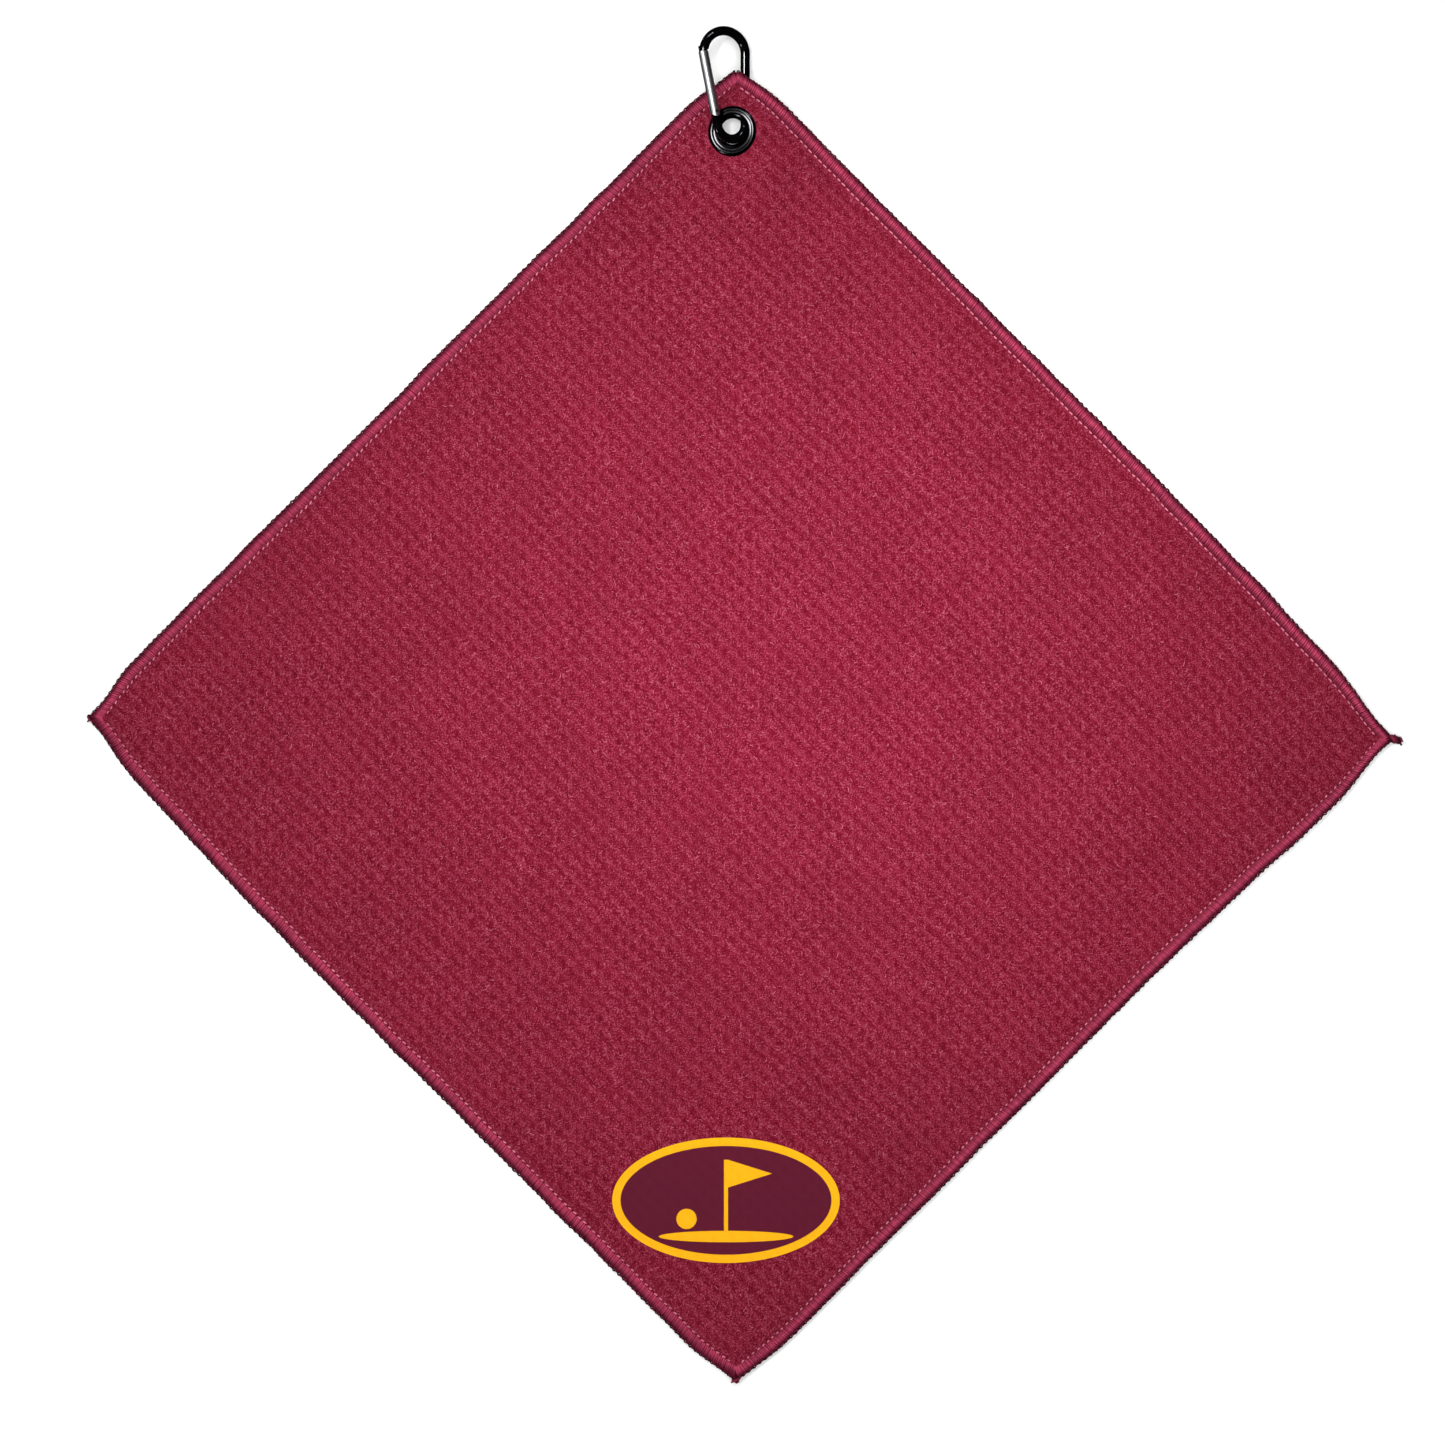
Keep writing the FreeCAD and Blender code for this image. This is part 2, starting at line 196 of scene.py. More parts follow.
def noiseAt(tree, vector, scale, detail, roughness=0.5, distortion=0.0):
    return newNode(tree, "ShaderNodeTexNoise", {
        "Vector": vector, "Scale": scale, "Detail": detail, "Roughness": roughness, "Distortion": distortion})


def mixColours(tree, factor, a, b):
    # sockets 6 and 7 are the two colours, output 2 is their mix
    return newNode(tree, "ShaderNodeMix", {"Factor": factor, 6: a, 7: b}, data_type="RGBA").outputs[2]


def ramp(tree, value, stops):
    node = newNode(tree, "ShaderNodeValToRGB", {0: value})
    elements = node.color_ramp.elements
    while len(elements) < len(stops):
        elements.new(0.5)
    for element, (position, shade) in zip(elements, stops):
        element.position = position
        element.color = shade if hasattr(shade, "__len__") else (shade, shade, shade, 1)
    return node.outputs[0]


def remap(tree, value, low, high, toLow=0.0, toHigh=1.0):
    inputs = {0: value, 1: low, 2: high, 3: toLow, 4: toHigh}
    return newNode(tree, "ShaderNodeMapRange", inputs).outputs[0]


def newGroup(name, inputs, outputs):
    group = bpy.data.node_groups.new(name, "ShaderNodeTree")
    for direction, sockets in (("INPUT", inputs), ("OUTPUT", outputs)):
        for socketName, kind in sockets.items():
            group.interface.new_socket(socketName, in_out=direction, socket_type="NodeSocket" + kind)
    return group, group.nodes.new("NodeGroupInput").outputs, group.nodes.new("NodeGroupOutput").inputs


def placeGroup(tree, group, inputs):
    return newNode(tree, "ShaderNodeGroup", inputs, node_tree=group).outputs


# fuzzy waffle: wavy ridges with hollows between them, under a tangle of short fibres
# Weave counts the waffle's cells both ways across the cloth
pile = {
    "swayScale": 0.45,       # the ridges' wandering, per cell and in cells
    "sway": 0.55,
    "ridge": 0.58,
    "ridgeWave": 0.6,
    "knots": 0.42,
    "lean": 58.0,            # degrees, of fibres longer than they are wide
    "stretch": 0.66,
    "fuzz": 1150.0,          # noise scales per metre
    "loops": 620.0,
    "fine": 1700.0,
    "middle": 110.0,
    "large": 20.0,
}
waffle, into, out = newGroup(
    "waffleWeave", {"Vector": "Vector", "Weave": "Vector"},
    {"Height": "Float", "Light": "Float", "FleckHighlight": "Float", "Mottle": "Float"})
sway = noiseAt(waffle, into["Weave"], pile["swayScale"], 2.0).outputs["Color"]
sway = vectorMaths(waffle, "SCALE", vectorMaths(waffle, "SUBTRACT", sway, (0.5, 0.5, 0.5)), pile["sway"])
turns = vectorMaths(waffle, "SCALE", vectorMaths(waffle, "ADD", sway, into["Weave"]), 2 * math.pi)
turns = newNode(waffle, "ShaderNodeSeparateXYZ", {0: turns})
across, along = turns.outputs[0], turns.outputs[1]
bent = maths(waffle, "MULTIPLY_ADD", maths(waffle, "SINE", along), pile["ridgeWave"], across)
ridge = maths(waffle, "COSINE", bent)
valley = maths(waffle, "MULTIPLY_ADD", maths(waffle, "COSINE", across), -0.5, 0.5)
knots = maths(waffle, "MULTIPLY", maths(waffle, "COSINE", along), valley)
cell = maths(waffle, "MULTIPLY_ADD", ridge, pile["ridge"], maths(waffle, "MULTIPLY", knots, pile["knots"]))
leaning = newNode(waffle, "ShaderNodeMapping", {
    "Vector": into["Vector"], "Rotation": (0, 0, math.radians(pile["lean"]))})
leaning = newNode(waffle, "ShaderNodeMapping", {
    "Vector": leaning.outputs[0], "Scale": (pile["stretch"], 1.0, 1.0)})
fuzz = noiseAt(waffle, leaning.outputs[0], pile["fuzz"], 2.0, 0.8)
loops = noiseAt(waffle, into["Vector"], pile["loops"], 1.0, 0.6, 0.8)
loops = maths(waffle, "ABSOLUTE", maths(waffle, "SUBTRACT", loops.outputs[0], 0.5))
loops = remap(waffle, loops, 0.0, 0.045, 1.0, 0.0)
fine = noiseAt(waffle, into["Vector"], pile["fine"], 1.0, 0.7)
middle = noiseAt(waffle, into["Vector"], pile["middle"], 2.0, 0.6)
large = noiseAt(waffle, into["Vector"], pile["large"], 2.0)
mottle = maths(waffle, "MULTIPLY_ADD", middle.outputs[0], 0.5, maths(waffle, "MULTIPLY", large.outputs[0], 0.5))
# painted shade: the waffle's hollows are darker and its ridges lighter in colour, standing in for the shade in
# the pits; the fibre noise added after it is the pile's own uneven tone
light = maths(waffle, "MULTIPLY_ADD", cell, 0.15, 0.46)
light = maths(waffle, "MULTIPLY_ADD", maths(waffle, "SUBTRACT", fuzz.outputs[0], 0.5), 0.75, light)
light = maths(waffle, "MULTIPLY_ADD", maths(waffle, "SUBTRACT", fine.outputs[0], 0.5), 1.3, light)
light = maths(waffle, "MULTIPLY_ADD", loops, 0.13, light)
height = maths(waffle, "MULTIPLY_ADD", cell, 0.4, 0.5)
height = maths(waffle, "MULTIPLY_ADD", fuzz.outputs[0], 0.2, height)
height = maths(waffle, "MULTIPLY_ADD", loops, 0.12, height)
waffle.links.new(height, out["Height"])
waffle.links.new(light, out["Light"])
# painted highlights: pale flecks where fibre tips catch the light
fleckHighlight = remap(waffle, fine.outputs[0], 0.54, 0.66)
waffle.links.new(maths(waffle, "MULTIPLY", fleckHighlight, loops), out["FleckHighlight"])
waffle.links.new(remap(waffle, mottle, 0.38, 0.62), out["Mottle"])

# spun thread: fine twisted filaments with uneven dye
yarnScales = {"grain": 2600.0, "patch": 420.0, "drift": 60.0}
spun, into, out = newGroup("spunThread", {"Vector": "Vector"}, {"Height": "Float", "Light": "Float"})
grain = noiseAt(spun, into["Vector"], yarnScales["grain"], 2.0, 0.6)
patch = noiseAt(spun, into["Vector"], yarnScales["patch"], 2.0)
drift = noiseAt(spun, into["Vector"], yarnScales["drift"], 1.0)
both = maths(spun, "MULTIPLY_ADD", grain.outputs[0], 0.35, maths(spun, "MULTIPLY", patch.outputs[0], 0.4))
both = maths(spun, "MULTIPLY_ADD", drift.outputs[0], 0.25, both)
spun.links.new(grain.outputs[0], out["Height"])
spun.links.new(remap(spun, both, 0.36, 0.64), out["Light"])

# handling marks on metal: hairline scratches and rubbed patches
wear, into, out = newGroup(
    "handlingWear", {"Vector": "Vector", "Amount": "Float"},
    {"Scratch": "Float", "Rub": "Float", "Height": "Float"})
scratches = None
for k, angle in enumerate((18, 74, 131)):
    lay = newNode(wear, "ShaderNodeMapping", {
        "Vector": into["Vector"], "Rotation": (math.radians(40 * k), math.radians(25), math.radians(angle)),
        "Scale": (90.0, 1500.0, 1500.0)})
    hair = noiseAt(wear, lay.outputs[0], 1.0, 2.0)
    line = remap(wear, hair.outputs[0], 0.66, 0.74)
    scratches = line if scratches is None else maths(wear, "MAXIMUM", scratches, line)
cloud = noiseAt(wear, into["Vector"], 260.0, 4.0, 0.65)
rub = maths(wear, "MULTIPLY", remap(wear, cloud.outputs[0], 0.45, 0.72), into["Amount"])
scratch = maths(wear, "MULTIPLY", scratches, into["Amount"])
wear.links.new(scratch, out["Scratch"])
wear.links.new(rub, out["Rub"])
wear.links.new(maths(wear, "MULTIPLY", scratch, -1.0), out["Height"])


def newMaterial(name, settings):
    material = bpy.data.materials.new(name)
    material.use_nodes = True
    tree = material.node_tree
    shader = tree.nodes["Principled BSDF"]
    for key, value in settings.items():
        shader.inputs[key].default_value = value
    place = tree.nodes.new("ShaderNodeTexCoord").outputs["Object"]
    return material, tree, shader, place


def bump(tree, shader, height, strength, distance):
    node = newNode(tree, "ShaderNodeBump", {"Height": height, "Strength": strength, "Distance": distance})
    tree.links.new(node.outputs[0], shader.inputs["Normal"])


def attribute(tree, name):
    return newNode(tree, "ShaderNodeAttribute", attribute_name=name).outputs["Fac"]


# materials

clothLook = {
    "dark": colour(79, 4, 18),
    "body": colour(112, 20, 40),
    "light": colour(142, 56, 78),
    # painted highlight colour of the pile's pale flecks
    "fleckHighlight": colour(174, 98, 120),
    "cell": (5.34 * mm, 5.65 * mm),
    "relief": 0.35 * mm,
}
clothMaterial, tree, shader, place = newMaterial("waffleCloth", {
    "Roughness": 0.92, "Specular IOR Level": 0.03, "Sheen Weight": 0.04, "Sheen Roughness": 0.5,
    "Sheen Tint": colour(235, 150, 170)})
cells = newNode(tree, "ShaderNodeAttribute", attribute_name="weave").outputs["Vector"]
weave = placeGroup(tree, waffle, {"Vector": place, "Weave": cells})
# the weave's Light carries painted shade in the waffle's hollows besides the pile's own uneven tone
tone = ramp(tree, weave["Light"], [
    (0.1, clothLook["dark"]), (0.5, clothLook["body"]), (0.9, clothLook["light"])])
# painted highlights: pale flecks mixed into the pile
tone = mixColours(tree, maths(tree, "MULTIPLY", weave["FleckHighlight"], 0.7), tone, clothLook["fleckHighlight"])
shade = remap(tree, weave["Mottle"], 0.0, 1.0, 0.93, 1.06)
tone = vectorMaths(tree, "SCALE", tone, shade)
# painted shade: the cloth's colour is pulled towards its dark colour along the groove beside the hem
groove = attribute(tree, "groove")
tone = mixColours(tree, maths(tree, "MULTIPLY", groove, 0.45), tone, clothLook["dark"])
tree.links.new(tone, shader.inputs["Base Color"])
tree.links.new(remap(tree, weave["Light"], 0.0, 1.0, 0.98, 0.82), shader.inputs["Roughness"])
bump(tree, shader, weave["Height"], 0.45, clothLook["relief"])


def threadMaterial(name, dark, light, roughness=0.75):
    material, tree, shader, place = newMaterial(name, {
        "Roughness": roughness, "Specular IOR Level": 0.03, "Sheen Weight": 0.02,
        "Sheen Tint": colour(240, 150, 175)})
    yarn = placeGroup(tree, spun, {"Vector": place})
    # the "tone" attribute holds the threads' own tone and, on the hems, painted light and shade across the roll
    body = mixColours(tree, attribute(tree, "tone"), dark, light)
    shade = remap(tree, yarn["Light"], 0.0, 1.0, 0.72, 1.25)
    body = vectorMaths(tree, "SCALE", body, shade)
    tree.links.new(body, shader.inputs["Base Color"])
    rough = remap(tree, yarn["Light"], 0.0, 1.0, roughness + 0.1, roughness - 0.1)
    tree.links.new(rough, shader.inputs["Roughness"])
    bump(tree, shader, yarn["Height"], 0.5, 0.08 * mm)
    return material


# the hem threads' dark and light colours are mixed by painted light and shade across the hem, besides each
# thread's own tone
rollMaterial = threadMaterial("hemRoll", colour(54, 2, 18), colour(132, 27, 54), 0.85)
looperMaterial = threadMaterial("looperThread", colour(70, 6, 28), colour(198, 74, 107))
edgeMaterial = threadMaterial("edgeThread", colour(32, 1, 12), colour(156, 50, 80))
needleMaterial = threadMaterial("needleThread", colour(176, 84, 110), colour(228, 142, 164), 0.6)


def filmMaterial(name, body, deep):
    # printed film pressed into the pile: the weave just shows through
    material, tree, shader, place = newMaterial(name, {"Roughness": 0.7, "Specular IOR Level": 0.05})
    turned = newNode(tree, "ShaderNodeMapping", {"Vector": place, "Rotation": (0, 0, math.radians(-45))})
    cellsPerMetre = (1 / clothLook["cell"][0], 1 / clothLook["cell"][1], 1.0)
    cells = vectorMaths(tree, "MULTIPLY", turned.outputs[0], cellsPerMetre)
    weave = placeGroup(tree, waffle, {"Vector": place, "Weave": cells})
    # painted shade: the film takes its deeper colour in the weave's hollows
    tone = mixColours(tree, remap(tree, weave["Light"], 0.15, 0.85), deep, body)
    tree.links.new(tone, shader.inputs["Base Color"])
    tree.links.new(remap(tree, weave["Height"], 0.0, 1.0, 0.72, 0.52), shader.inputs["Roughness"])
    bump(tree, shader, weave["Height"], 0.16, 0.2 * mm)
    return material


goldFilm = filmMaterial("badgeGold", colour(240, 170, 18), colour(230, 158, 12))
darkFilm = filmMaterial("badgeDark", colour(88, 18, 40), colour(80, 15, 36))


def metalMaterial(name, settings, body, rubbed, roughness, wornRoughness, amount, depth=0.02):
    material, tree, shader, place = newMaterial(name, settings)
    marks = placeGroup(tree, wear, {"Vector": place, "Amount": amount})
    worn = maths(tree, "MAXIMUM", marks["Scratch"], maths(tree, "MULTIPLY", marks["Rub"], 0.5), clamp=True)
    tree.links.new(mixColours(tree, worn, body, rubbed), shader.inputs["Base Color"])
    tree.links.new(remap(tree, worn, 0.0, 1.0, roughness, wornRoughness), shader.inputs["Roughness"])
    bump(tree, shader, marks["Height"], 0.25, depth * mm)
    return material


blackNickel = metalMaterial(
    "blackNickel", {"Metallic": 1.0, "Coat Weight": 0.06, "Coat Roughness": 0.06},
    colour(22, 22, 23), colour(40, 40, 43), 0.16, 0.3, 0.25)
blackEnamel = metalMaterial(
    "blackEnamel",
    {"Metallic": 0.0, "Specular IOR Level": 0.14, "Coat Weight": 0.12, "Coat Roughness": 0.04},
    colour(2, 2, 3), colour(22, 22, 24), 0.1, 0.3, 0.3)
brightSteel = metalMaterial(
    "brightSteel", {"Metallic": 1.0}, colour(150, 150, 152), colour(118, 118, 122), 0.4, 0.46, 0.3, 0.006)
rivetSteel = metalMaterial(
    "rivetSteel", {"Metallic": 1.0}, colour(200, 200, 204), colour(140, 140, 146), 0.2, 0.4, 0.8)
innerSteel = metalMaterial(
    "innerSteel", {"Metallic": 1.0}, colour(170, 170, 172), colour(110, 108, 106), 0.25, 0.5, 0.6)

floorMaterial, tree, shader, place = newMaterial("paleFloor", {"Roughness": 0.9, "Specular IOR Level": 0.1})
paper = noiseAt(tree, place, 60.0, 3.0)
tree.links.new(ramp(tree, paper.outputs[0], [(0.3, 0.92), (0.7, 0.94)]), shader.inputs["Base Color"])
floorMesh.materials.append(floorMaterial)

cadFinish = {
    "badge_backing": goldFilm, "badge_field": darkFilm,
    "grommet_front": blackNickel, "grommet_washer": blackNickel,
    "carabiner_body": blackEnamel, "gate": brightSteel,
    "hinge_rivet": rivetSteel, "latch_pin": rivetSteel,
    "spring_plunger": innerSteel, "gate_spring": innerSteel,
}
for node, material in cadFinish.items():
    for holder in bpy.data.objects[node].material_slots:
        holder.material = material
print("materials ready")


# the towel's outline and how it lies

towel = {
    "side": 406.4 * mm,
    "tipHalfAngle": 52.0,    # degrees: the corners are blunter than square
    "tipRound": 104,         # higher is sharper
    "shoulderRound": 500,
    "thick": 1.5 * mm,
    "hemWidth": 5.0 * mm,
    "hemThick": 2.4 * mm,
    "edgeWander": 0.5 * mm,
    "wanderPitch": 17 * mm,
    "wanderFrom": (35 * mm, 30 * mm),        # from the ring: where it starts, and over what width it grows
    "waveHeight": 1.3 * mm,
    "waveFrom": (62 * mm, 60 * mm),
    "foldFrom": (14 * mm, 14 * mm),
    "foldTo": (50 * mm, 45 * mm),
    "blendFrom": (22 * mm, 22 * mm),
    "blend": 7 * mm,
    "ringFolds": [(14 * mm, 3.2 * mm, 0.9 * mm), (23 * mm, 4.5 * mm, 0.7 * mm)],   # inset, width, height
    # each corner: direction, how it lies askew, how far it is pinched and over what depth
    "tips": [
        ((-1, 0), (3.0 * mm, 3.0 * mm), 0.3, 10.0 * mm),
        ((1, 0), (1.2 * mm, -5.6 * mm), 0.42, 13.0 * mm),
        ((0, -1), (0.0, 0.0), 0.15, 7.0 * mm),
        ((0, 1), (0.0, 0.0), 0.25, 6.0 * mm),
    ],
    "tipSpread": 85.0 * mm,
}
lift = {                     # the top corner climbs over the clip
    "tilt": 18.0, "flat": 11.5 * mm, "start": 46.0 * mm, "foot": 42.0 * mm,
    "beyond": 30.0 * mm, "drop": 1.5 * mm, "clamp": 1.0 * mm,
}
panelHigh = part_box("towel_panel")[1]
frontLow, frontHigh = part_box("grommet_front")
washerLow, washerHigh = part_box("grommet_washer")
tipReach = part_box("overlock_upper_right")[1].x
ringX = (frontLow.x + frontHigh.x + washerLow.x + washerHigh.x) / 4
ringY = (frontLow.y + frontHigh.y) / 2
flangeRadius = (frontHigh.y - frontLow.y) / 2
slope = math.tan(math.radians(lift["tilt"]))
ringMid = panelHigh.z - towel["thick"] / 2 - lift["flat"] * slope
badgeLow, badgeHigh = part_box("badge_backing")

tipAngle = math.radians(towel["tipHalfAngle"])
tipLine = tipReach * (1 + math.log(2) / towel["tipRound"]) * math.sin(tipAngle)
sideLines = []               # each side's three straight runs, as angle and distance of the normal
for quarter in range(4):
    corner = math.radians(90 * quarter)
    sideLines.append([
        (corner + math.pi / 4, towel["side"] / 2),
        (corner + math.pi / 2 - tipAngle, tipLine),
        (corner + tipAngle, tipLine),
    ])


def roundedLeast(values, sharpness):
    least = min(values)
    return least * sum((least / v) ** sharpness for v in values) ** (-1 / sharpness)


def rawReach(angle):
    sides = []
    for lines in sideLines:
        runs = [d / max(math.cos(angle - a), 0.05) for a, d in lines]
        sides.append(roundedLeast(runs, towel["shoulderRound"]))
    return roundedLeast(sides, towel["tipRound"])


reachSteps = 7200
reachTable = [rawReach(2 * math.pi * k / reachSteps) for k in range(reachSteps + 1)]


def reachAt(angle):
    # middle of the towel to its outline
    t = (angle % (2 * math.pi)) / (2 * math.pi) * reachSteps
    k = min(int(t), reachSteps - 1)
    return mix(reachTable[k], reachTable[k + 1], t - k)


def insetOf(x, y):
    # how far a point is inside the outline
    angle = math.atan2(y, x)
    fromNormal = (angle % (math.pi / 2)) - math.pi / 4
    return (reachAt(angle) - math.hypot(x, y)) * math.cos(fromNormal)


def foldLine(mid):
    under = mid - towel["thick"] / 2
    crest = (ringX + lift["flat"], under + lift["flat"] * slope)
    return [(ringX - under / slope, 0.0), crest, (ringX + lift["foot"], 0.0)]


onRing = foldLine(ringMid)
beyondRing = foldLine(ringMid - lift["drop"])
foldRows = [
    (ringY - lift["start"], [(x, 0.0) for x, z in onRing]),
    (ringY - lift["flat"], onRing),
    (ringY + lift["flat"], onRing),
    (ringY + lift["beyond"], beyondRing),
]


def foldHeight(x, y):
    if y <= foldRows[0][0]:
        return 0.0
    y = min(y, foldRows[-1][0])
    for (y0, row0), (y1, row1) in zip(foldRows, foldRows[1:]):
        if y <= y1:
            t = (y - y0) / (y1 - y0)
            if row0 is foldRows[0][1]:
                t = smooth(t)
            line = [(mix(a[0], b[0], t), mix(a[1], b[1], t)) for a, b in zip(row0, row1)]
            break
    for (x0, z0), (x1, z1) in zip(line, line[1:]):
        if x0 <= x <= x1:
            return mix(z0, z1, (x - x0) / (x1 - x0))
    return 0.0


def fromRing(x, y):
    return math.hypot(x - ringX, y - ringY)


def fromBadge(x, y, margin=0.0):
    # 1 on the badge's oval, less inside it
    badgeX = (x - (badgeLow.x + badgeHigh.x) / 2) / ((badgeHigh.x - badgeLow.x) / 2 + margin)
    badgeY = (y - (badgeLow.y + badgeHigh.y) / 2) / ((badgeHigh.y - badgeLow.y) / 2 + margin)
    return math.hypot(badgeX, badgeY)


def grown(distance, limits):
    # 0 up to the start, then rising to 1 over the width
    start, width = limits
    return smooth((distance - start) / width)


def underside(x, y):
    # height of the cloth's lower face
    away = fromRing(x, y)
    spread = towel["blend"] * grown(away, towel["blendFrom"])
    if y > foldRows[0][0] - 10 * mm and spread > 0:
        around = [(0, 0), (spread, 0), (-spread, 0), (0, spread), (0, -spread)]
        height = sum(foldHeight(x + dx, y + dy) for dx, dy in around) / len(around)
    else:
        height = foldHeight(x, y)
    if x > ringX and away > towel["foldFrom"][0]:
        inset = insetOf(x, y)
        beside = grown(away, towel["foldFrom"]) * (1 - grown(away, towel["foldTo"]))
        for at, wide, tall in towel["ringFolds"]:
            height += beside * tall * math.exp(-((inset - at) / wide) ** 2)
    keep = grown(away, towel["waveFrom"]) * grown(fromBadge(x, y), (1.05, 0.9))
    if keep > 0:
        a = noise.noise(Vector((x / 0.105 + 3.1, y / 0.14, 0.4)))
        b = noise.noise(Vector((x / 0.045, y / 0.06 + 7.7, 2.4)))
        height += keep * towel["waveHeight"] * (max(a + 0.12, 0) ** 1.3 * 1.7 + max(b, 0) * 0.45)
    return height


def settle(x, y, above):
    # the final place of a point of the towel, above its lower face by so much
    z = underside(x, y) + above
    away = fromRing(x, y)
    dx = dy = 0.0
    for (tx, ty), (mx, my), pinch, depth in towel["tips"]:
        near = math.exp(-((x - tx * tipReach) ** 2 + (y - ty * tipReach) ** 2) / towel["tipSpread"] ** 2)
        inward = tipReach - x * tx - y * ty
        pull = pinch * math.exp(-(inward / depth) ** 2) * (1 - smooth(-inward / (1.5 * mm)))
        dx += mx * near - pull * x * abs(ty)
        dy += my * near - pull * y * abs(tx)
    edge = 1 - smooth(insetOf(x, y) / (30 * mm))
    wander = towel["edgeWander"] * edge * grown(away, towel["wanderFrom"])
    if wander > 0:
        at = Vector((x, y, 0)) / towel["wanderPitch"]
        dx += wander * noise.noise(at + Vector((0, 0, 5.2)))
        dy += wander * noise.noise(at + Vector((0, 0, 9.6)))
    return Vector((x + dx, y + dy, z))


def sideSamples(quarter):
    # closely spaced points along one side, with the distance run so far
    steps = 3000
    points, runs = [], [0.0]
    for k in range(steps + 1):
        angle = math.pi / 2 * (quarter + k / steps)
        points.append(Vector((math.cos(angle), math.sin(angle))) * reachAt(angle))
    for a, b in zip(points, points[1:]):
        runs.append(runs[-1] + (b - a).length)
    return points, runs


sidePaths = {quarter: sideSamples(quarter) for quarter in range(4)}


def alongSide(quarter, run, inset):
    # a point this far along a side and this far in from the outline
    points, runs = sidePaths[quarter]
    k = min(max(bisect.bisect_right(runs, run) - 1, 0), len(runs) - 2)
    t = (run - runs[k]) / (runs[k + 1] - runs[k])
    at = points[k].lerp(points[k + 1], t)
    ahead = points[min(k + 12, len(points) - 1)] - points[max(k - 12, 0)]
    inward = Vector((-ahead.y, ahead.x)).normalized()
    return at + inward * inset


def addPiece(name, mesh, material, slotName, *replaced):
    piece = bpy.data.objects.new(name, mesh)
    scene.collection.objects.link(piece)
    mesh.materials.clear()
    mesh.materials.append(material)
    mesh.polygons.foreach_set("use_smooth", [True] * len(mesh.polygons))
    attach(piece, "towel")
    if replaced:
        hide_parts(*replaced)
    return piece


# the cloth

clothMesh = {
    "edgeLines": 3,          # grid lines under the hem
    "edgeZone": 5.5 * mm,
    "cells": (74, 70),       # waffle cells each way, three grid lines to a cell
    "waffle": 0.17 * mm,
    "rimInset": 1.4 * mm,
    "rimThick": 1.0 * mm,
    "rimLift": 0.7 * mm,
    "rimFade": (3.6 * mm, 2.4 * mm),
    "clampFade": (0.1 * mm, 2.2 * mm),
    "pucker": 0.14 * mm,
    "groove": 0.3 * mm,
    "grooveAt": 5.5 * mm,
    "grooveWide": 1.1 * mm,
    "badgeSink": 0.03 * mm,
    "bore": 6.15 * mm,       # radius of the hole in the cloth
    "boreZone": 9 * mm,
}
edgeLines = clothMesh["edgeLines"]
half = towel["side"] / 2
inner = half - clothMesh["edgeZone"]


def gridPlace(t, cells):
    # where a grid line lies across the cloth, and the waffle cells counted there
    lines = 3 * cells + 2 * edgeLines
    k = round((t + 1) / 2 * lines)
    count = (k - edgeLines) / 3
    if k < edgeLines:
        return -half + clothMesh["edgeZone"] * k / edgeLines, count
    if k > lines - edgeLines:
        return half - clothMesh["edgeZone"] * (lines - k) / edgeLines, count
    return mix(-inner, inner, count / cells), count


bm = bmesh.new()
segments = [3 * cells + 2 * edgeLines for cells in clothMesh["cells"]]
bmesh.ops.create_grid(bm, x_segments=segments[0], y_segments=segments[1], size=1.0)
cellsAt = {}                 # waffle cells counted at each point of the cloth
for vert in bm.verts:
    a, acrossCells = gridPlace(vert.co.x, clothMesh["cells"][0])
    b, alongCells = gridPlace(vert.co.y, clothMesh["cells"][1])
    x, y = (a - b) / math.sqrt(2), (a + b) / math.sqrt(2)
    outer = max(abs(a), abs(b))
    if outer > 0:
        angle = math.atan2(y, x)
        square = half / outer * math.hypot(x, y)
        rim = clothMesh["rimInset"] / math.cos(angle % (math.pi / 2) - math.pi / 4)
        scale = (reachAt(angle) - rim) / square
        stretch = 1 + (scale - 1) * (outer / half) ** 5
        x, y = x * stretch, y * stretch
    vert.co = (x, y, 0)
    cellsAt[vert.co.to_tuple(7)[:2]] = (acrossCells, alongCells)

boreRadius = clothMesh["bore"]
cosTilt = math.cos(math.radians(lift["tilt"]))


def ringDistance(x, y):
    return math.hypot((x - ringX) / cosTilt, y - ringY)


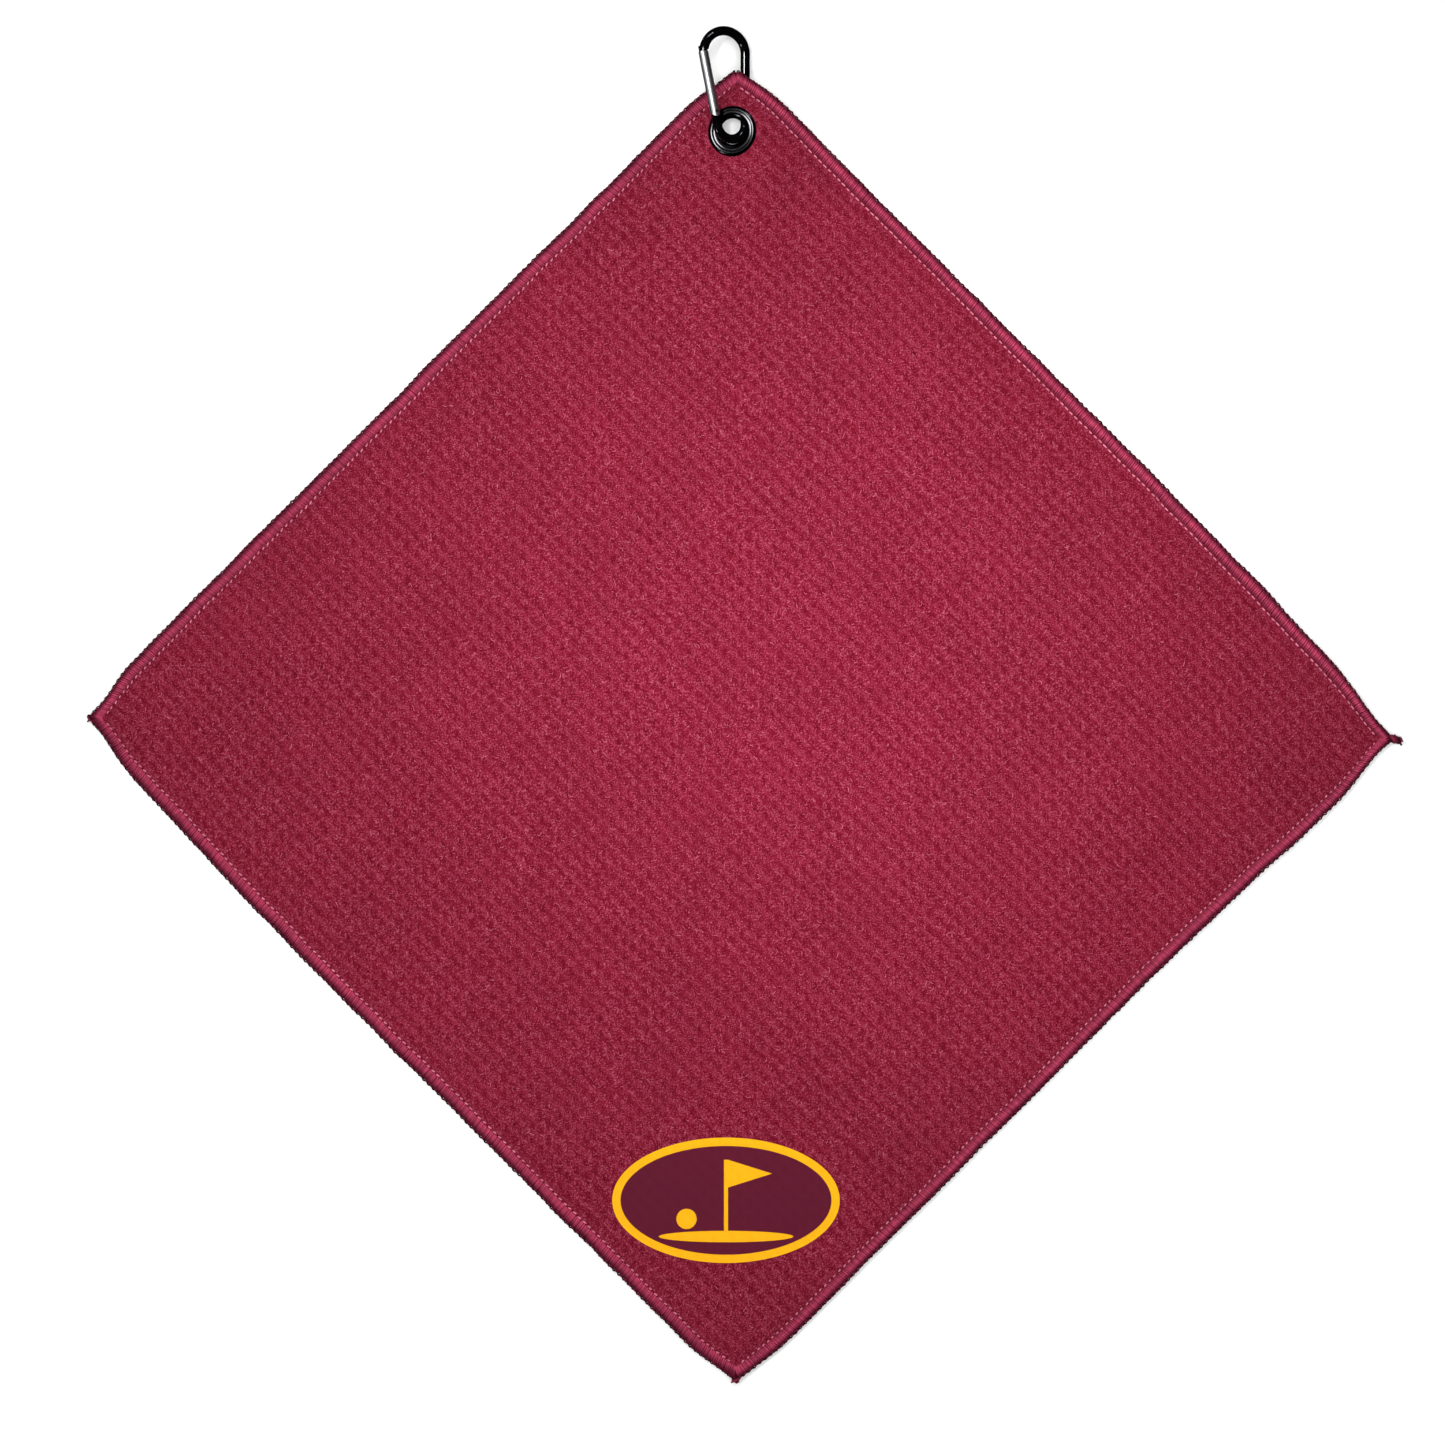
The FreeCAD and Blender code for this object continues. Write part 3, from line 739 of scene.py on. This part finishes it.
inHole = [f for f in bm.faces if any(ringDistance(v.co.x, v.co.y) < boreRadius for v in f.verts)]
bmesh.ops.delete(bm, geom=inHole, context="FACES")
for vert in bm.verts:
    away = ringDistance(vert.co.x, vert.co.y)
    if away < clothMesh["boreZone"] and vert.is_boundary:
        counted = cellsAt[vert.co.to_tuple(7)[:2]]
        vert.co.x = ringX + (vert.co.x - ringX) * boreRadius / away
        vert.co.y = ringY + (vert.co.y - ringY) * boreRadius / away
        cellsAt[vert.co.to_tuple(7)[:2]] = counted
bmesh.ops.solidify(bm, geom=bm.faces[:], thickness=-1 * mm)
grooveShadeLayer = bm.verts.layers.float.new("groove")
weaveLayer = bm.verts.layers.float_vector.new("weave")
for vert in bm.verts:
    x, y = vert.co.x, vert.co.y
    upper = abs(vert.co.z) > 0.5 * mm
    inset = insetOf(x, y)
    ring = ringDistance(x, y)
    low, high = 0.0, towel["thick"]
    if inset < towel["hemWidth"] + 1 * mm:
        t = 1 - grown(inset, clothMesh["rimFade"])
        low = mix(low, clothMesh["rimLift"], t)
        high = mix(high, clothMesh["rimLift"] + clothMesh["rimThick"], t)
    if ring < flangeRadius + 2.5 * mm:
        t = 1 - grown(ring - flangeRadius, clothMesh["clampFade"])
        middle = towel["thick"] / 2
        low = mix(low, middle - lift["clamp"] / 2 / cosTilt, t)
        high = mix(high, middle + lift["clamp"] / 2 / cosTilt, t)
    elif upper and inset > towel["hemWidth"]:
        calm = grown(fromBadge(x, y), (1.02, 0.25)) * grown(ring, (flangeRadius + 2.5 * mm, 8 * mm))
        slant = Vector(((x * 0.53 - y * 0.85) / 8.5, (x * 0.85 + y * 0.53) / 5.0, 0)) / mm
        pucker = noise.noise(slant) + 0.6 * noise.noise(slant * 2.1 + Vector((9, 4, 1)))
        high += clothMesh["pucker"] * calm * pucker
        u, v = (2 * math.pi * c for c in cellsAt[vert.co.to_tuple(7)[:2]])
        cell = pile["ridge"] * math.cos(u + pile["ridgeWave"] * math.sin(v))
        cell += pile["knots"] * math.cos(v) * (0.5 - 0.5 * math.cos(u))
        high += clothMesh["waffle"] * calm * cell * smooth((inset - 6 * mm) / (4 * mm))
        high -= clothMesh["badgeSink"] * (1 - calm)
    # painted shade: how much the colour darkens in the groove beside the hem, where shade falls; the same curve
    # sinks the upper face there
    grooveShade = math.exp(-((inset - clothMesh["grooveAt"]) / clothMesh["grooveWide"]) ** 2)
    if upper:
        high -= clothMesh["groove"] * grooveShade
    vert[grooveShadeLayer] = grooveShade
    vert[weaveLayer] = (*cellsAt[vert.co.to_tuple(7)[:2]], 0)
    vert.co = settle(x, y, high if upper else low)
bmesh.ops.recalc_face_normals(bm, faces=bm.faces[:])
mesh = bpy.data.meshes.new("cloth")
bm.to_mesh(mesh)
bm.free()
cloth = addPiece("cloth", mesh, clothMaterial, "waffle_cloth", "towel_panel")
print("cloth", len(mesh.polygons), "faces")


# threads

def threadMesh(name, strands, radius):
    # each strand is a list of (place, relative thickness)
    curve = bpy.data.curves.new(name, "CURVE")
    curve.dimensions = "3D"
    curve.bevel_depth = radius
    curve.bevel_resolution = 0
    curve.use_fill_caps = True
    for strand in strands:
        line = curve.splines.new("POLY")
        line.points.add(len(strand) - 1)
        for point, (at, thickness) in zip(line.points, strand):
            point.co = (*at, 1)
            point.radius = thickness
    holder = bpy.data.objects.new(name, curve)
    scene.collection.objects.link(holder)
    made = bpy.data.meshes.new_from_object(holder.evaluated_get(bpy.context.evaluated_depsgraph_get()))
    bpy.data.objects.remove(holder)
    bpy.data.curves.remove(curve)
    return made


def layDown(mesh, toneOf):
    # give each point its tone by its place on the flat towel, then lay it with the cloth
    layer = mesh.attributes.new("tone", "FLOAT", "POINT")
    layer.data.foreach_set("value", [toneOf(v.co) for v in mesh.vertices])
    for vert in mesh.vertices:
        vert.co = settle(vert.co.x, vert.co.y, max(vert.co.z, 0.02 * mm))


def joined(meshes):
    bm = bmesh.new()
    for part in meshes:
        bm.from_mesh(part)
        bpy.data.meshes.remove(part)
    whole = bpy.data.meshes.new("thread")
    bm.to_mesh(whole)
    bm.free()
    return whole


hem = {
    "from": 0.35 * mm,       # the roll's outer and inner limits, in from the outline
    "to": 5.05 * mm,
    "floorGap": 0.06 * mm,
    "threadRoom": 0.1 * mm,
    "step": 0.73 * mm,
    "around": 14,
    "stitch": 2.9 * mm,      # one needle stitch
    "loopers": 3,            # threads across the roll to a stitch
    "looperThick": 0.42 * mm,
    # places round the roll, from the needle over the top to the underside, and how thick there
    "looperPath": [
        (0.46, 0.55), (0.36, 0.9), (0.25, 1.0), (0.15, 1.0), (0.06, 1.0), (-0.03, 0.9), (-0.13, 0.6),
    ],
    "looperTones": (1.0, 0.82, 0.92, 0.7, 1.0, 0.78, 0.88),
    "edgeThick": 0.46 * mm,
    "needleThick": 0.3 * mm,
    # along one needle stitch: share of its length, height in mm, thickness
    "needlePath": [
        (0.0, -0.25, 0.7), (0.16, 0.08, 0.95), (0.5, 0.2, 1.0), (0.84, 0.08, 0.95), (1.0, -0.25, 0.7),
    ],
    # needle stitches on each side: inset, length and slant
    "needle": {
        "upper_right": (5.95 * mm, 1.95 * mm, 0.0),
        "upper_left": (5.6 * mm, 1.5 * mm, 0.55 * mm),
        "lower_left": (5.6 * mm, 1.6 * mm, 0.35 * mm),
        "lower_right": (5.45 * mm, 1.25 * mm, 0.2 * mm),
    },
}
# painted light and shade across the hem, from the outer edge in, on each side: lighter where the roll faces the
# light, darker in the groove and at the outer edge, whose darkness is partly the edge thread's own colour
hemLightAndShade = {
    "upper_right": [(0.0, 0.0), (1.0, 0.1), (1.6, 0.9), (2.8, 0.95), (3.4, 0.35), (5.2, 0.25)],
    "upper_left": [(0.0, 0.0), (1.1, 0.1), (1.8, 0.7), (3.9, 0.9), (4.8, 0.45), (5.2, 0.4)],
    "lower_left": [(0.0, 0.0), (1.7, 0.1), (2.6, 0.4), (3.3, 0.9), (4.8, 0.95), (5.4, 0.55)],
    "lower_right": [(0.0, 0.0), (1.2, 0.1), (1.9, 0.75), (3.6, 0.9), (4.6, 0.45), (5.2, 0.4)],
}
sideNames = ["upper_right", "upper_left", "lower_left", "lower_right"]


# painted light and shade across the hem at this inset
def paintedLightAcross(side, inset):
    stops = hemLightAndShade[side]
    inset /= mm
    if inset <= stops[0][0]:
        return stops[0][1]
    for (a, toneA), (b, toneB) in zip(stops, stops[1:]):
        if inset <= b:
            return mix(toneA, toneB, (inset - a) / (b - a))
    return stops[-1][1]


def hemProfile(turn, swell):
    # inset and height round the roll; turn 0 is the outer edge, a quarter is the top
    across, up = math.cos(2 * math.pi * turn), math.sin(2 * math.pi * turn)
    width = towel["hemWidth"] / 2
    inset = hem["from"] + width - width * math.copysign(abs(across) ** 0.8, across)
    if across < 0:
        inset = min(inset, hem["to"])
    tall = towel["hemThick"] / 2 - hem["threadRoom"]
    taper = 1 - 0.3 * smooth((inset - 2.2 * mm) / (3 * mm))
    height = tall + hem["floorGap"] + tall * math.copysign(abs(up) ** 0.75, up) * taper * swell
    return inset, height


rng = random.Random(41)
for quarter, side in enumerate(sideNames):
    total = sidePaths[quarter][1][-1]
    stitches = round(total / hem["stitch"])
    pitch = total / stitches

    # the puffy roll of cloth under the thread, nipped in at every stitch
    steps = round(total / hem["step"])
    bm = bmesh.new()
    bmesh.ops.create_grid(bm, x_segments=steps, y_segments=hem["around"], size=1.0)
    for vert in bm.verts:
        run = (vert.co.x + 1) / 2 * total
        turn = (vert.co.y + 1) / 2 % 1.0
        nip = abs(math.cos(math.pi * run / pitch)) ** 3
        swell = 1 - 0.2 * nip + 0.1 * noise.noise(Vector((run / 0.008, quarter * 5.0, 1.7)))
        inset, above = hemProfile(turn, swell)
        outer = 1 - smooth(inset / (2.5 * mm))
        inset += outer * mm * (0.28 * nip + 0.35 * noise.noise(Vector((run / 0.004, quarter * 3.0, 8.1))))
        at = alongSide(quarter, run, inset)
        vert.co = (at.x, at.y, above)
    bmesh.ops.remove_doubles(bm, verts=bm.verts, dist=0.01 * mm)
    bmesh.ops.holes_fill(bm, edges=[e for e in bm.edges if e.is_boundary], sides=0)
    bmesh.ops.recalc_face_normals(bm, faces=bm.faces[:])
    mesh = bpy.data.meshes.new("hemRoll")
    bm.to_mesh(mesh)
    bm.free()
    # the roll's colour carries painted light and shade across the hem
    layDown(mesh, lambda co: paintedLightAcross(side, insetOf(co.x, co.y)) * 0.85)
    addPiece(f"hem_roll_{side}", mesh, rollMaterial, "edge_thread", f"overlock_{side}")

    # looper threads laid across the roll and tucked round the edge
    loopers = []
    for k in range(hem["loopers"] * stitches):
        run = (k + rng.uniform(0.35, 0.65)) * pitch / hem["loopers"]
        if run < 1.2 * mm or run > total - 1.2 * mm:
            continue
        lean = rng.uniform(0.7, 1.3) * mm
        rise = rng.uniform(-0.04, 0.06) * mm
        strand = []
        for turn, thickness in hem["looperPath"]:
            inset, above = hemProfile(turn % 1.0, 1.0)
            outward = Vector((math.cos(2 * math.pi * turn), math.sin(2 * math.pi * turn)))
            inset -= outward.x * 0.12 * mm
            above += outward.y * rise
            at = alongSide(quarter, run + lean * (0.5 - 2 * turn), inset)
            strand.append((Vector((at.x, at.y, max(above, 0.32 * mm))), thickness * rng.uniform(0.88, 1.1)))
        loopers.append(strand)
    made = []
    for k, share in enumerate(hem["looperTones"]):
        mesh = threadMesh("looper", loopers[k::len(hem["looperTones"])], hem["looperThick"])
        # the loopers' colour carries painted light and shade across the hem, varied per thread
        layDown(mesh, lambda co: paintedLightAcross(side, insetOf(co.x, co.y)) * share)
        made.append(mesh)
    addPiece(f"looper_{side}", joined(made), looperMaterial, "edge_thread")

    # two threads locked round each other along the outer edge
    chains = []
    for phase in (0.0, 0.5):
        strand = []
        beads = stitches * 8
        for k in range(beads + 1):
            run = min(max(k / beads * total, 0.6 * mm), total - 0.6 * mm)
            turn = 2 * math.pi * (run / pitch + phase)
            wobble = 0.3 * mm * noise.noise(Vector((run / 0.006, quarter, phase)))
            inset = (0.2 + 0.45 * phase) * mm + 0.45 * mm * math.cos(turn) + wobble
            above = 1.25 * mm + 0.5 * mm * math.sin(turn)
            at = alongSide(quarter, run, inset)
            strand.append((Vector((at.x, at.y, above)), 1.0 + 0.2 * math.cos(turn)))
        mesh = threadMesh("edge", [strand], hem["edgeThick"])
        # painted shade: the edge thread is made near black, partly its own dark dye and partly the shade where
        # the edge curls away from the light
        layDown(mesh, lambda co: 0.02 + 0.7 * phase)
        chains.append(mesh)
    addPiece(f"edge_chain_{side}", joined(chains), edgeMaterial, "edge_thread")

    # needle stitches beside the roll
    strands = []
    stitchInset, stitchLength, slant = hem["needle"][side]
    for k in range(stitches):
        start = (k + 0.2) * pitch + rng.uniform(-0.15, 0.15) * mm
        if start < 5 * mm or start > total - 7 * mm:
            continue
        length = stitchLength * rng.uniform(0.8, 1.15)
        inset = stitchInset + rng.uniform(-0.12, 0.12) * mm
        strand = []
        for t, above, thickness in hem["needlePath"]:
            at = alongSide(quarter, start + length * t, inset + slant * (t - 0.5))
            strand.append((Vector((at.x, at.y, towel["thick"] + (above - 0.18) * mm)), thickness))
        strands.append(strand)
    mesh = threadMesh("needle", strands, hem["needleThick"])
    layDown(mesh, lambda co: 0.6 + 0.4 * noise.noise(Vector((co.x / 0.004, co.y / 0.004, 3.0))))
    addPiece(f"needle_stitches_{side}", mesh, needleMaterial, "needle_thread", f"needle_row_{side}")
print("hems done")


# thread ends at three corners

tails = {
    "right": {"turn": 0.0, "length": 4.8 * mm, "drop": 0.1 * mm, "rise": -1.3 * mm, "girth": 1.45},
    "bottom": {"turn": -90.0, "length": 2.0 * mm, "drop": 0.0, "rise": -0.7 * mm, "girth": 1.25},
    "left": {"turn": 180.0, "length": 1.5 * mm, "drop": 0.0, "rise": 0.2 * mm, "girth": 1.1},
}
tailLook = {
    "plies": [(1.0, 0.45), (0.93, 0.05), (0.97, 0.25)],      # each one's length and tone
    "steps": 26,
    "root": 4.5 * mm,        # how far inside the corner it starts
    "thick": 0.72 * mm,
    "twist": 0.8 * mm,
    "pitch": 3.8 * mm,
    "taper": 0.3,
    "height": 1.2 * mm,
}
for name, tail in tails.items():
    angle = math.radians(tail["turn"])
    outward = Vector((math.cos(angle), math.sin(angle)))
    aside = Vector((-outward.y, outward.x))
    twist = tailLook["twist"] * tail["girth"]
    parts = []
    for ply, (reachShare, plyTone) in enumerate(tailLook["plies"]):
        strand = []
        for k in range(tailLook["steps"] + 1):
            t = k / tailLook["steps"]
            run = mix(-tailLook["root"], tail["length"] * reachShare, t)
            beyond = max(run, 0) / tail["length"]
            turn = 2 * math.pi * (run / tailLook["pitch"] + ply / len(tailLook["plies"]))
            slim = 1 - tailLook["taper"] * beyond
            loose = slim * (1 + 0.8 * smooth((t - 0.8) / 0.2))
            # spread inside the corner, which is pinched in again, and flattened in the hem
            spread = twist * (1 + 0.7 * (1 - smooth(run / (2 * mm))))
            free = smooth((run + 1 * mm) / (2.5 * mm))
            at = outward * (tipReach - 0.2 * mm + run)
            at += aside * (spread * math.cos(turn) * loose + tail["rise"] * beyond * t)
            above = tailLook["height"] - tail["drop"] * smooth(beyond)
            above += twist * math.sin(turn) * loose * free - 0.3 * mm * (1 - free)
            thickness = slim * (1.0 - 0.35 * smooth((t - 0.85) / 0.15))
            strand.append((Vector((at.x, at.y, max(above, 0.6 * mm))), thickness))
        mesh = threadMesh("tail", [strand], tailLook["thick"] * tail["girth"])
        layDown(mesh, lambda co: plyTone)
        parts.append(mesh)
    addPiece(f"tail_{name}", joined(parts), edgeMaterial, "edge_thread", f"thread_tail_{name}")
print("thread ends done")


# loose fibres on the pile

lint = {
    "count": 1500,
    "thick": 0.055 * mm,
    "length": (0.8, 2.4),    # mm
    "lean": (-58, 45),       # degrees: usual heading and how far it strays
    "curl": 1.4,
    "arch": 0.22 * mm,
    "points": 4,
}
rng = random.Random(7)
strands = []
while len(strands) < lint["count"]:
    x, y = rng.uniform(-tipReach, tipReach), rng.uniform(-tipReach, tipReach)
    offCloth = abs(x) + abs(y) > tipReach * 0.95
    if offCloth or ringDistance(x, y) < flangeRadius + 4 * mm or fromBadge(x, y, 3 * mm) < 1:
        continue
    heading = math.radians(rng.gauss(*lint["lean"]))
    curl = rng.uniform(-lint["curl"], lint["curl"])
    length = rng.uniform(*lint["length"]) * mm
    strand = []
    for k in range(lint["points"]):
        t = k / (lint["points"] - 1)
        angle = heading + curl * t
        at = Vector((x, y)) + Vector((math.cos(angle), math.sin(angle))) * length * t
        above = towel["thick"] + 0.02 * mm + lint["arch"] * math.sin(math.pi * t)
        strand.append((Vector((at.x, at.y, above)), 1.0))
    strands.append(strand)
mesh = threadMesh("lint", strands, lint["thick"])
layDown(mesh, lambda co: 0.5 + 0.5 * noise.noise(Vector((co.x / 0.002, co.y / 0.002, 1.0))))
fibrePiece = addPiece("loose_fibres", mesh, needleMaterial, "waffle_cloth")

print("all pieces made")
